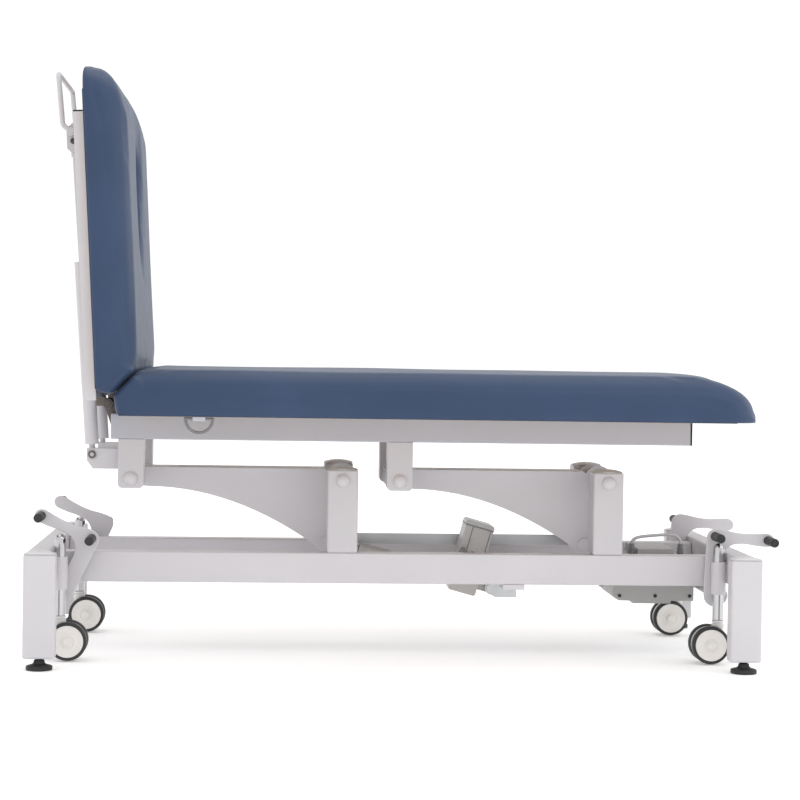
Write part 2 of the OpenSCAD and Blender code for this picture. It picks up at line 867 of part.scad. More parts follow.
// Four brackets that hang from the rails and hold the arms' end shafts
module seat_brackets() {
  h = seat_z - bracket_z;
  color(white) both_sides() for (x = [head_bracket_x, foot_bracket_x]) difference() {
    plate_y(rail_half - bracket_w, rail_half) {
      translate([x, seat_z - h / 2]) round_rect(bracket_w, h, 9);
      translate([x - bracket_w / 2, seat_z - 20]) square([bracket_w, 20]);
    }
    block([x - bracket_w / 2 + wall, rail_half - bracket_w + wall, bracket_z + 8],
      [x + bracket_w / 2 - wall, rail_half - wall, seat_z + 1]);
    rod_y([x, pivot_z], shaft_r, rail_half - bracket_w - 1, rail_half + 1);
  }
}

module seat_pivot_shafts() {
  color(white) {
    capped_shaft([head_bracket_x, pivot_z]);
    capped_shaft([foot_bracket_x, pivot_z]);
  }
}

// Black plugs in the foot ends of the seat rails
module rail_plugs() {
  color(black) both_sides() {
    block([rail_x1, rail_in, seat_z], [rail_x1 + 3, rail_half, seat_z + seat_rail_h]);
    block([rail_x1 - 15, rail_in + wall, seat_z + wall],
      [rail_x1, rail_half - wall, seat_z + seat_rail_h - wall]);
  }
}

// Lugs at the head end of the seat frame: hinge pins, and anchors for the gas springs
module seat_end_lugs() {
  lug_y = rail_in - 6;
  anchor_t = 5;
  head_face = head_bracket_x - bracket_w / 2;
  color(white) both_sides() {
    difference() {
      plate_y(lug_y, rail_in) {
        translate(hinge) circle(11);
        polygon([
          hinge + [-9, -6], hinge + [7, 6], [rail_x0 + 10, seat_z + seat_rail_h],
          [rail_x0 + 22, seat_z + seat_rail_h - 4], [rail_x0 + 22, seat_z + 6],
          [rail_x0 + 4, seat_z + 6]
        ]);
      }
      rod_y(hinge, hinge_pin_r, lug_y - 1, rail_in + 1);
    }
    for (y = [spring_y - spring_eye_w / 2 - anchor_t - 1, spring_y + spring_eye_w / 2 + 1])
      difference() {
        plate_y(y, y + anchor_t) polygon([
          [head_face, 368], [head_face, 408], spring_foot + [-10, 12], spring_foot + [-10, -12],
          spring_foot + [2, -28]
        ]);
        rod_y(spring_foot, 5, y - 1, y + anchor_t + 1);
      }
    block([head_face - 6, spring_y - spring_eye_w / 2 - 1, 370],
      [head_face, spring_y + spring_eye_w / 2 + 1, 406]);
    rod_y(spring_foot, 5, spring_y - 15, spring_y + 15);
    rod_y(hinge, hinge_pin_r, lug_y - 4, rail_half + 1);
    rod_y(spring_foot, 8, spring_y + 13, spring_y + 17);
  }
}

// ---- pads and boards ----

nose_seat = 138;
nose_back = 110;
seat_tip = mid + 706;
corner_r = 70;

// Plan outline with two round corners at the far end of a section
module plan(len, r) {
  translate([0, -pad_w / 2]) square([len - r, pad_w]);
  translate([len - r - 1, -pad_w / 2 + r]) square([r + 1, pad_w - 2 * r]);
  for (s = [-1, 1]) translate([len - r, s * (pad_w / 2 - r)]) circle(r);
}

// Side outline of a section that runs from the hinge to a rounded nose: flat below, level on
// top, beveled at the hinge so that both sections meet in a mitre when the back is raised
module pad_side(len, under, over, nose) {
  steps = 12;
  bevel = (180 - back_angle) / 2;
  gap = bevel_gap / sin(bevel);
  edge = 14;
  start = 14;
  polygon(concat(
    [
      [start, (start - gap) * tan(bevel)], [start, under], [len - nose * 0.12, under],
      [len - 2, under + edge * 0.5]
    ],
    [
      for (i = [0 : steps])
        let (a = 90 * i / steps)
        [len - nose + nose * cos(a), under + edge + (over - under - edge) * sin(a)]
    ],
    [[gap + over / tan(bevel), over]]
  ));
}

// A section's padding in hinge coordinates, with a pocket below for its board
module pad_solid(len, under, over, nose, rim) {
  difference() {
    intersection() {
      plate_y(-pad_w / 2, pad_w / 2) pad_side(len, under, over, nose);
      translate([0, 0, under - 1]) linear_extrude(over - under + 2) plan(len, corner_r);
    }
    rod_y([0, 0], hinge_clear_r, -pad_w, pad_w);
    translate([0, 0, under - 1]) linear_extrude(board_t - 1) board_plan(len, rim);
  }
}

// Plan of a plywood board that stays inside its pad
module board_plan(len, rim) {
  start = hinge_clear_r + 8;
  translate([start, -pad_w / 2 + rim]) square([len - start - nose_back * 0.5, pad_w - 2 * rim]);
}

module seat_place() {
  translate([hinge[0], 0, hinge[1]]) children();
}

module back_place() {
  translate([hinge[0], 0, hinge[1]]) rotate([0, back_angle, 0]) mirror([1, 0, 0]) children();
}

seat_under = pad_top - seat_pad_t - hinge[1];
top_over = pad_top - hinge[1];
seat_len = seat_tip - hinge[0];

module seat_board() {
  color("burlywood") seat_place()
    translate([0, 0, seat_under - 2]) linear_extrude(board_t) board_plan(seat_len, board_inset);
}

module seat_pad() {
  color(navy) seat_place() pad_solid(seat_len, seat_under, top_over, nose_seat, board_inset);
}

// Opening for the face: wide at the brow, narrow at the chin
face_top = 520;
face_len = 225;
face_r = 62;
chin_r = 26;

module face_opening(grow) {
  wide = face_r + grow;
  narrow = chin_r + grow;
  brow = face_top - face_r;
  chin = face_top - face_len + chin_r;
  lean = asin((face_r - chin_r) / (brow - chin));
  steps = 16;
  polygon(concat(
    [
      for (i = [0 : steps])
        let (a = -90 - lean + (180 + 2 * lean) * i / steps)
        [brow + wide * cos(a), wide * sin(a)]
    ],
    [
      for (i = [0 : steps])
        let (a = 90 + lean + (180 - 2 * lean) * i / steps)
        [chin + narrow * cos(a), narrow * sin(a)]
    ]
  ));
}

module back_board() {
  color("burlywood") back_place() difference() {
    translate([0, 0, back_under - 2]) linear_extrude(board_t) board_plan(back_len, board_inset);
    translate([0, 0, back_under - 3]) linear_extrude(board_t + 2) face_opening(6);
  }
}

module back_pad() {
  color(navy) back_place() difference() {
    pad_solid(back_len, back_under, top_over, nose_back, board_inset);
    translate([0, 0, back_under - 5]) linear_extrude(back_pad_t + 10) face_opening(0);
  }
}

// ---- backrest frame ----

frame_tube = 20;
frame_half = 290;
frame_end = 555;
frame_z = back_under - 2;
flat_t = 12;

// Side tubes, flat crossbars, hinge knuckles and the ears for the spring heads and handle
module back_frame() {
  z0 = frame_z - frame_tube;
  y0 = frame_half - frame_tube / 2;
  ear_u = [494, 552];
  color(white) back_place() {
    both_sides() {
      tube_x(10, frame_end, y0, y0 + frame_tube, z0, frame_z);
      knuckle_y = rail_in + 2;
      difference() {
        plate_y(knuckle_y, rail_half - 1) {
          circle(hinge_knuckle_r);
          polygon([
            [-4, frame_z - flat_t], [36, frame_z - flat_t], [36, frame_z], [17, frame_z],
            [10, -4], [-4, -4]
          ]);
        }
        rod_y([0, 0], hinge_pin_r + fit, knuckle_y - 1, rail_half);
      }
      for (y = [spring_y - 13, spring_y + 9]) plate_y(y, y + 4) polygon([
        [ear_u[0], frame_z - flat_t], [ear_u[0], -52], [ear_u[0] + 8, -60],
        [ear_u[1] - 12, -60], [ear_u[1], -48], [ear_u[1], frame_z - flat_t]
      ]);
      for (y = [spring_y - 17, spring_y + 13]) rod_y(spring_top, 6, y, y + 4);
      rod_y(handle_pivot, 4.5, spring_y + 13, handle_y + 6);
    }
    for (u = [[14, 40], [496, 550]])
      block([u[0], -y0, frame_z - flat_t], [u[1], y0, frame_z]);
  }
}

module back_plugs() {
  y0 = frame_half - frame_tube / 2;
  z0 = frame_z - frame_tube;
  color(black) back_place() both_sides() {
    block([frame_end, y0, z0], [frame_end + 3, y0 + frame_tube, frame_z]);
    block([frame_end - 12, y0 + wall, z0 + wall],
      [frame_end, y0 + frame_tube - wall, frame_z - wall]);
  }
}

// ---- gas springs, drawn upright from their lower pins ----

cylinder_end = 379;
cylinder_r = 13.5;
piston_rod_r = 4.5;

module along_spring() {
  both_sides() translate([spring_foot[0], spring_y, spring_foot[1]]) rotate([0, -spring_lean, 0])
    children();
}

module gas_cylinders() {
  color(grey) along_spring() {
    difference() {
      union() {
        rod_y([0, 0], 9, -spring_eye_w / 2, spring_eye_w / 2);
        translate([0, 0, 6]) cylinder(r = 6, h = 16);
        translate([0, 0, 20]) cylinder(r = cylinder_r, h = cylinder_end - 20);
      }
      rod_y([0, 0], 5 + fit, -spring_eye_w, spring_eye_w);
      translate([0, 0, 26]) cylinder(r = cylinder_r - 2, h = cylinder_end - 38);
      translate([0, 0, 26]) cylinder(r = piston_rod_r + fit, h = cylinder_end);
    }
  }
}

// Piston, rod and the black release head at its top
module gas_rods() {
  color(steel) along_spring() {
    translate([0, 0, 236]) cylinder(r = cylinder_r - 2 - fit, h = 12);
    translate([0, 0, 247]) cylinder(r = piston_rod_r, h = spring_len - 247 - 18);
    translate([0, 0, spring_len - 30]) cylinder(r = 7, h = 24);
    rod_y([0, spring_len], 8, -6.5, 6.5);
  }
}

// ---- small moving parts ----

// Bent-bar handle behind the head of the backrest that frees both gas springs
module release_handle() {
  r = 5;
  joint_r = 5.3;
  rise = 114;
  low = [handle_pivot[0], handle_pivot[1]];
  knee = [handle_pivot[0] + 14, -66];
  top = [handle_pivot[0] + rise, -70];
  color(white) back_place() {
    both_sides() {
      difference() {
        rod_y(low, 8.5, handle_y - 4.5, handle_y + 4.5);
        rod_y(low, 4.5 + fit, handle_y - 5, handle_y + 5);
      }
      difference() {
        union() {
          strut([low[0], handle_y, low[1]], [knee[0], handle_y, knee[1]], r);
          translate([knee[0], handle_y, knee[1]]) sphere(joint_r);
          strut([knee[0], handle_y, knee[1]], [top[0], handle_y, top[1]], r);
          translate([top[0], handle_y, top[1]]) sphere(joint_r);
        }
        rod_y(low, 7, handle_y - 8, handle_y + 8);
      }
    }
    rod_y(top, r, -handle_y, handle_y);
  }
}

ring_x = mid - 377;
ring_y = 315;
ring_r = 26;
wire_r = 2.75;
ring_z = seat_z + seat_rail_h - wire_r - 0.8;

// Clips below the board that hold the strap rings
module ring_clips() {
  color(steel) both_sides() difference() {
    block([ring_x - 12, ring_y - 5, ring_z - 4.5], [ring_x + 12, ring_y + 5, seat_z + seat_rail_h]);
    translate([ring_x - 13, ring_y, ring_z]) rotate([0, 90, 0]) cylinder(r = wire_r + 0.1, h = 26);
  }
}

// D-shaped strap ring: a straight bar in the clip and half a circle below it
module d_ring(s) {
  color(steel) translate([ring_x, s * ring_y, ring_z]) {
    rotate([0, 90, 0]) translate([0, 0, -ring_r]) cylinder(r = wire_r, h = 2 * ring_r);
    rotate([-90, 0, 0]) rotate_extrude(angle = 180) translate([ring_r, 0]) circle(wire_r);
    for (x = [-ring_r, ring_r]) translate([x, 0, 0]) sphere(wire_r);
  }
}

module d_ring_near() { d_ring(-1); }
module d_ring_far() { d_ring(1); }

side_rails();
end_beams();
legs();
uprights();
tube_caps();
caster_sleeves();
lift_pivot_shafts();
cross_members();
actuator_mount();
control_box();
control_box_lid();
box_screws();
control_board();
box_cables();
strain_reliefs();
foot_head_near();
foot_head_far();
foot_end_near();
foot_end_far();
head_lever();
head_lever_pegs();
foot_lever();
foot_lever_pegs();
head_stems();
foot_stems();
caster_head_near();
caster_head_far();
caster_foot_near();
caster_foot_far();
wheels_head_near();
wheels_head_far();
wheels_foot_near();
wheels_foot_far();
head_arm_shell();
head_arm_tubes();
foot_arm_shell();
foot_arm_tubes();
tie_bar();
actuator_housing();
actuator_drive();
actuator_tube();
actuator_rod();
seat_rails();
seat_crossbars();
seat_brackets();
seat_pivot_shafts();
rail_plugs();
seat_board();
seat_pad();
seat_end_lugs();
ring_clips();
d_ring_near();
d_ring_far();
back_frame();
back_plugs();
back_board();
back_pad();
gas_cylinders();
gas_rods();
release_handle();
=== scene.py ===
# Looks for the exam table: camera, light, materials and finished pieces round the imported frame.
import json
import math

import bmesh
import bpy
import numpy as np
from mathutils import Matrix, Vector, noise


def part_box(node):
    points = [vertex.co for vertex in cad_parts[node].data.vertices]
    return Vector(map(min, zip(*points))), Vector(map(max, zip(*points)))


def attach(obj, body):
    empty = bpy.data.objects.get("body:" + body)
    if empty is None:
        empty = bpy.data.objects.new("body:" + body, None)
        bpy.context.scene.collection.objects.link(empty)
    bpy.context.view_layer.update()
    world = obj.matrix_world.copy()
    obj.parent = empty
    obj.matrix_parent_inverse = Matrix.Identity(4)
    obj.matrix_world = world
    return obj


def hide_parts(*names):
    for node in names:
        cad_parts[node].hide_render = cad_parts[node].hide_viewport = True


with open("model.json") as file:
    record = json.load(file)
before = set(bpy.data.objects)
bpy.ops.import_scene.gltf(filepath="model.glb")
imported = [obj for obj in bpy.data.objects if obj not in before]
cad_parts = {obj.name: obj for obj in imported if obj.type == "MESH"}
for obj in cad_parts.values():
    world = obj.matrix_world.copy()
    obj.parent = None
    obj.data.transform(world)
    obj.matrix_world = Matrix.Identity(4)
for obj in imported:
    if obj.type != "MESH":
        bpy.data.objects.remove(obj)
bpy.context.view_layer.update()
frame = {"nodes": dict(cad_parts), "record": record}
MM = 0.001
WELD = 2e-6


def box_mid(node, axis):
    lo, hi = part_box(node)
    return (lo[axis] + hi[axis]) / 2


MID = box_mid("end_beams", 0)

# ---------------------------------------------------------------- camera
YAW, PITCH, ROLL = 0.0629, 0.0239, 0.0148
LENS = 92.28
cam_data = bpy.data.cameras.new("camera")
cam_data.lens = LENS
cam_data.sensor_width = 36
cam_data.clip_end = 60
cam = bpy.data.objects.new("camera", cam_data)
bpy.context.scene.collection.objects.link(cam)
fw = Vector((math.sin(YAW) * math.cos(PITCH), math.cos(YAW) * math.cos(PITCH), -math.sin(PITCH)))
side = Vector((math.cos(YAW), -math.sin(YAW), 0))
up = side.cross(fw)
right = side * math.cos(ROLL) + up * math.sin(ROLL)
above = up * math.cos(ROLL) - side * math.sin(ROLL)
rot = Matrix((right, above, -fw)).transposed()
cam.matrix_world = Matrix.Translation((MID - 0.2422, -4.1996, 0.6082)) @ rot.to_4x4()
bpy.context.scene.camera = cam

# ---------------------------------------------------------------- materials


def node_mat(name):
    m = bpy.data.materials.new(name)
    m.use_nodes = True
    t = m.node_tree
    p = next(n for n in t.nodes if n.type == "BSDF_PRINCIPLED")
    return m, t, p


def add(t, kind, **values):
    n = t.nodes.new(kind)
    for k, v in values.items():
        if k in n.inputs:
            n.inputs[k].default_value = v
        else:
            setattr(n, k, v)
    return n


def coords(t):
    return t.nodes.new("ShaderNodeTexCoord").outputs["Object"]


def noise_tex(t, scale, detail=3.0):
    n = add(t, "ShaderNodeTexNoise", Scale=scale, Detail=detail, Roughness=0.55)
    t.links.new(coords(t), n.inputs["Vector"])
    return n.outputs["Fac"]


def ramp(t, fac, a, b, lo=0.35, hi=0.65):
    r = t.nodes.new("ShaderNodeValToRGB")
    r.color_ramp.elements[0].position = lo
    r.color_ramp.elements[1].position = hi
    r.color_ramp.elements[0].color = (*a, 1)
    r.color_ramp.elements[1].color = (*b, 1)
    t.links.new(fac, r.inputs["Fac"])
    return r.outputs["Color"]


def grey(v):
    return (v, v, v)


def bump(t, height, strength, distance, after=None):
    b = add(t, "ShaderNodeBump", Strength=strength, Distance=distance)
    t.links.new(height, b.inputs["Height"])
    if after:
        t.links.new(after, b.inputs["Normal"])
    return b.outputs["Normal"]


def coating(name, color, rough, variation, grain, grain_depth, metallic=0.0):
    """Paint, plastic, rubber or metal: slow changes of tone and gloss, and a fine grain."""
    blotch = 7.0
    m, t, p = node_mat(name)
    dark = tuple(c * (1 - variation) for c in color)
    light = tuple(min(1.0, c * (1 + variation * 0.6)) for c in color)
    t.links.new(ramp(t, noise_tex(t, blotch), dark, light), p.inputs["Base Color"])
    gloss = ramp(t, noise_tex(t, blotch * 9), grey(rough * 0.9), grey(rough * 1.12))
    t.links.new(gloss, p.inputs["Roughness"])
    p.inputs["Metallic"].default_value = metallic
    t.links.new(bump(t, noise_tex(t, grain, 2.0), grain_depth, 0.0004), p.inputs["Normal"])
    return m


def vinyl():
    """Blue upholstery cover with fine pores."""
    m, t, p = node_mat("vinyl")
    base = ramp(t, noise_tex(t, 5.0), (0.025, 0.048, 0.104), (0.031, 0.057, 0.120))
    t.links.new(base, p.inputs["Base Color"])
    t.links.new(ramp(t, noise_tex(t, 60.0), grey(0.43), grey(0.47)), p.inputs["Roughness"])
    p.inputs["Specular IOR Level"].default_value = 0.32
    p.inputs["Sheen Weight"].default_value = 0.05
    p.inputs["Sheen Roughness"].default_value = 0.4
    cells = add(t, "ShaderNodeTexVoronoi", Scale=900.0)
    cells.feature = "DISTANCE_TO_EDGE"
    t.links.new(coords(t), cells.inputs["Vector"])
    pores = bump(t, cells.outputs["Distance"], 0.08, 0.0005)
    t.links.new(bump(t, noise_tex(t, 240.0, 4.0), 0.05, 0.0005, pores), p.inputs["Normal"])
    return m


def wood():
    """Plywood with its grain along Z, the length of the raised back board."""
    m, t, p = node_mat("plywood")
    along = t.nodes.new("ShaderNodeMapping")
    along.inputs["Scale"].default_value = (34, 34, 1.8)
    t.links.new(coords(t), along.inputs["Vector"])
    grain = add(t, "ShaderNodeTexNoise", Scale=1.6, Detail=5.0, Roughness=0.6)
    t.links.new(along.outputs["Vector"], grain.inputs["Vector"])
    tone = ramp(t, grain.outputs["Fac"], (0.47, 0.34, 0.21), (0.60, 0.46, 0.30), 0.3, 0.7)
    t.links.new(tone, p.inputs["Base Color"])
    t.links.new(ramp(t, noise_tex(t, 90.0), grey(0.5), grey(0.7)), p.inputs["Roughness"])
    t.links.new(bump(t, noise_tex(t, 300.0, 4.0), 0.2, 0.0005), p.inputs["Normal"])
    return m


# name, colour, roughness, variation of tone, scale and depth of the grain
WHITE = coating("white_powder_coat", (0.575, 0.557, 0.582), 0.42, 0.02, 520.0, 0.10)
# the frame's white powder coat, made darker: painted shade on the uprights and seat brackets
POST_SHADED_WHITE = coating("upright_painted_shade_coat", (0.535, 0.520, 0.543), 0.42, 0.02, 520.0, 0.10)
# the frame's white powder coat, made lighter: painted light on the lift arm shells and tubes
ARM_LIT_WHITE = coating("arm_painted_light_coat", (0.612, 0.596, 0.624), 0.42, 0.02, 520.0, 0.10)
# the frame's white powder coat, made darker and bluer: painted shade under the pads on the seat rails,
# crossbars and ring clips
SEAT_SHADED_WHITE = coating("seat_frame_painted_shade_coat", (0.440, 0.442, 0.487), 0.42, 0.02, 520.0, 0.10)
CHROME = coating("polished_chrome", (0.52, 0.52, 0.53), 0.14, 0.05, 90.0, 0.02, metallic=1.0)
RING = coating("ring_chrome", (0.20, 0.20, 0.21), 0.12, 0.1, 90.0, 0.02, metallic=1.0)
ZINC = coating("zinc_plate", (0.52, 0.53, 0.54), 0.34, 0.10, 500.0, 0.12, metallic=1.0)
BROWN_STEEL = coating("hinge_steel", (0.13, 0.115, 0.105), 0.45, 0.25, 260.0, 0.3, metallic=0.8)
CAP_GREY = coating("cap_plastic", (0.60, 0.60, 0.61), 0.36, 0.04, 420.0, 0.10)
BOX_GREY = coating("housing_plastic", (0.39, 0.385, 0.38), 0.48, 0.05, 900.0, 0.22)
MOTOR_GREY = coating("motor_plastic", (0.45, 0.435, 0.425), 0.30, 0.06, 800.0, 0.18)
GEAR_GREY = coating("gear_case", (0.20, 0.20, 0.21), 0.42, 0.08, 700.0, 0.25)
BLACK = coating("black_rubber", (0.014, 0.014, 0.016), 0.55, 0.2, 600.0, 0.35)
TYRE = coating("tyre_black", (0.020, 0.020, 0.021), 0.42, 0.2, 500.0, 0.25)
PEG = coating("peg_rubber", (0.022, 0.022, 0.024), 0.40, 0.25, 500.0, 0.3)
DISC = coating("wheel_disc", (0.77, 0.745, 0.71), 0.42, 0.03, 700.0, 0.12)
FORK = coating("caster_plastic", (0.70, 0.69, 0.67), 0.40, 0.04, 700.0, 0.12)
CABLE = coating("cable_sheath", (0.50, 0.50, 0.51), 0.45, 0.05, 900.0, 0.15)
RELIEF = coating("strain_relief_rubber", (0.20, 0.20, 0.205), 0.5, 0.1, 600.0, 0.2)
BOARD_GREEN = coating("board_laminate", (0.04, 0.16, 0.08), 0.4, 0.15, 300.0, 0.1)
VINYL = vinyl()
WOOD = wood()

# ---------------------------------------------------------------- building helpers
BODY_OF = {n: b for b, ns in frame["record"]["behaviour"]["bodies"].items() for n in ns}
SLOT_OF = {s["node"]: s["material_slot"] for s in frame["record"]["subparts"]}


def finish_mesh(me, angle=35):
    for poly in me.polygons:
        poly.use_smooth = True
    me.set_sharp_from_angle(angle=math.radians(angle))


def piece(name, me, material, body, slot=None, replaces=(), angle=35):
    o = bpy.data.objects.new(name, me)
    bpy.context.scene.collection.objects.link(o)
    for m in material if isinstance(material, (list, tuple)) else [material]:
        me.materials.append(m)
    finish_mesh(me, angle)
    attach(o, body)
    if replaces:
        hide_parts(*replaces)
    return o


def bevel(o, width, segments=3):
    b = o.modifiers.new("edges", "BEVEL")
    b.width = width
    b.segments = segments
    b.limit_method = "ANGLE"
    b.angle_limit = math.radians(32)
    b.harden_normals = False
    return o


def merged(bm):
    """Welds the CAD mesh and joins its flat triangles into whole faces."""
    bmesh.ops.remove_doubles(bm, verts=bm.verts, dist=WELD)
    bmesh.ops.dissolve_limit(bm, angle_limit=math.radians(0.4), verts=bm.verts, edges=bm.edges)


def refined(node, material, width):
    """The CAD node's own shape with welded, rounded edges."""
    bm = bmesh.new()
    bm.from_mesh(frame["nodes"][node].data)
    merged(bm)
    for f in bm.faces:
        f.material_index = 0
    me = bpy.data.meshes.new("fine_" + node)
    bm.to_mesh(me)
    bm.free()
    o = piece("fine_" + node, me, material, BODY_OF[node], SLOT_OF[node], [node])
    return bevel(o, width) if width else o


def islands(bm):
    """Vertex groups of the separate solids in a mesh."""
    left = set(bm.verts)
    for seed in bm.verts:
        if seed not in left:
            continue
        left.remove(seed)
        todo = [seed]
        found = [seed]
        while todo:
            for e in todo.pop().link_edges:
                for v in e.verts:
                    if v in left:
                        left.remove(v)
                        found.append(v)
                        todo.append(v)
        yield found


def box_mesh(lo, hi):
    bm = bmesh.new()
    bmesh.ops.create_cube(bm, size=1.0)
    for v in bm.verts:
        v.co = Vector([(a + b) / 2 + c * (b - a) for a, b, c in zip(lo, hi, v.co)])
    return bm


def inside(a, b):
    """Whether the box a lies in the box b; each is a low and a high corner."""
    return (all(p <= q + WELD for p, q in zip(b[0], a[0]))
            and all(p >= q - WELD for p, q in zip(b[1], a[1])))


def capped_tubes(node, material, width):
    """Square tubes seen from outside: one closed box with rounded edges for each CAD solid."""
    least = 0.02
    bm = bmesh.new()
    bm.from_mesh(frame["nodes"][node].data)
    bmesh.ops.remove_doubles(bm, verts=bm.verts, dist=WELD)
    spans = []
    for group in islands(bm):
        lo = [min(v.co[k] for v in group) for k in range(3)]
        hi = [max(v.co[k] for v in group) for k in range(3)]
        if min(b - a for a, b in zip(lo, hi)) > least:
            spans.append((lo, hi))
    bm.free()
    keep = [a for a in spans if not any(b is not a and inside(a, b) for b in spans)]
    me = one_material(mesh_of("fine_" + node, *[box_mesh(lo, hi) for lo, hi in keep]))
    return bevel(piece("fine_" + node, me, material, BODY_OF[node], SLOT_OF[node], [node]), width, 4)


def lathe(profile, centre, axis="Y", segs=72):
    """A closed turned solid; profile is (radius, along) pairs in mm."""
    bm = bmesh.new()
    rings = []
    for r, h in profile:
        if r < 1e-6:
            rings.append([bm.verts.new((0, 0, h * MM))])
        else:
            turns = [2 * math.pi * i / segs for i in range(segs)]
            rings.append([bm.verts.new((r * MM * math.cos(a), r * MM * math.sin(a), h * MM)) for a in turns])
    for a, b in zip(rings, rings[1:]):
        for i in range(segs):
            j = (i + 1) % segs
            if len(a) == 1 and len(b) == 1:
                continue
            if len(a) == 1:
                bm.faces.new((a[0], b[j], b[i]))
            elif len(b) == 1:
                bm.faces.new((a[i], a[j], b[0]))
            else:
                bm.faces.new((a[i], a[j], b[j], b[i]))
    turn = {"Y": Matrix.Rotation(math.radians(-90), 4, "X"), "Z": Matrix.Identity(4),
            "X": Matrix.Rotation(math.radians(90), 4, "Y")}[axis]
    bm.transform(Matrix.Translation(centre) @ turn)
    bmesh.ops.recalc_face_normals(bm, faces=bm.faces)
    return bm


def mesh_of(name, *bms):
    """One mesh from several bmeshes, each with its own material index."""
    me = bpy.data.meshes.new(name)
    whole = bmesh.new()
    for k, bm in enumerate(bms):
        for f in bm.faces:
            f.material_index = k
        part = bpy.data.meshes.new("part")
        bm.to_mesh(part)
        bm.free()
        whole.from_mesh(part)
        bpy.data.meshes.remove(part)
    whole.to_mesh(me)
    whole.free()
    return me


def one_material(me):
    for f in me.polygons:
        f.material_index = 0
    return me


def split_materials(me, first):
    """The first parts keep the first material; all later parts take the second."""
    for f in me.polygons:
        f.material_index = 0 if f.material_index < first else 1
    return me


def smooth_closed(points, steps):
    """A closed Catmull-Rom curve through 2-D points."""
    n = len(points)
    out = []
    for i in range(n):
        a, b, c, d = (Vector(points[(i + k) % n]) for k in (-1, 0, 1, 2))
        for s in range(steps):
            t = s / steps
            out.append(0.5 * (2 * b + (c - a) * t + (2 * a - 5 * b + 4 * c - d) * t * t
                              + (3 * b - a - 3 * c + d) * t ** 3))
    return out


def slab(outline, y0, y1):
    """A plate from an XZ outline in metres, between two Y faces."""
    bm = bmesh.new()
    a = [bm.verts.new((p[0], y0, p[1])) for p in outline]
    b = [bm.verts.new((p[0], y1, p[1])) for p in outline]
    bm.faces.new(a)
    bm.faces.new(list(reversed(b)))
    n = len(a)
    for i in range(n):
        j = (i + 1) % n
        bm.faces.new((a[i], b[i], b[j], a[j]))
    bmesh.ops.recalc_face_normals(bm, faces=bm.faces)
    return bm


def sweep(path, r):
    """A round rod along a smooth open path of points in metres."""
    sides = 20
    pts = [Vector(p) for p in path]
    bm = bmesh.new()
    prev = None
    rings = []
    for i, p in enumerate(pts):
        d = (pts[min(i + 1, len(pts) - 1)] - pts[max(i - 1, 0)]).normalized()
        if prev is None:
            prev = d.orthogonal().normalized()
        prev = (prev - d * prev.dot(d)).normalized()
        other = d.cross(prev)
        rings.append([bm.verts.new(p + r * (math.cos(a) * prev + math.sin(a) * other))
                      for a in (2 * math.pi * k / sides for k in range(sides))])
    for a, b in zip(rings, rings[1:]):
        for k in range(sides):
            j = (k + 1) % sides
            bm.faces.new((a[k], a[j], b[j], b[k]))
    bm.faces.new(list(reversed(rings[0])))
    bm.faces.new(rings[-1])
    bmesh.ops.recalc_face_normals(bm, faces=bm.faces)
    return bm


def rounded_path(points, radius, steps):
    """A path through corner points, with each corner bent to a radius."""
    pts = [Vector(p) for p in points]
    out = [pts[0]]
    for a, b, c in zip(pts, pts[1:], pts[2:]):
        u, v = (a - b).normalized(), (c - b).normalized()
        half = math.acos(max(-1, min(1, u.dot(v)))) / 2
        cut = min(radius / math.tan(half), (a - b).length * 0.49, (c - b).length * 0.49)
        for s in range(steps + 1):
            t = s / steps
            out.append((1 - t) ** 2 * (b + u * cut) + 2 * t * (1 - t) * b + t * t * (b + v * cut))
    out.append(pts[-1])
    return out


# ---------------------------------------------------------------- places
HINGE = Vector((MID - 0.560, 0, 0.497))
RAISED = math.radians(86.9)
MITRE = (math.pi - RAISED) / 2
HINGE_R = 0.012
STEM_X = 0.645
LEVER_Z = 0.133

# ---------------------------------------------------------------- frame, as coated steel
for n, paint, w in (("side_rails", WHITE, 3.0), ("end_beams", WHITE, 3.5), ("legs", WHITE, 4.0),
                    ("uprights", POST_SHADED_WHITE, 4.0), ("seat_rails", SEAT_SHADED_WHITE, 3.0),
                    ("seat_crossbars", SEAT_SHADED_WHITE, 2.5)):
    capped_tubes(n, paint, w * MM)
for n, paint, w in (("caster_sleeves", WHITE, 0.8), ("cross_members", WHITE, 0.8),
                    ("head_arm_shell", ARM_LIT_WHITE, 0.8),
                    ("foot_arm_shell", ARM_LIT_WHITE, 0.8), ("head_arm_tubes", ARM_LIT_WHITE, 0.8),
                    ("foot_arm_tubes", ARM_LIT_WHITE, 0.8), ("seat_brackets", POST_SHADED_WHITE, 1.0)):
    refined(n, paint, w * MM)
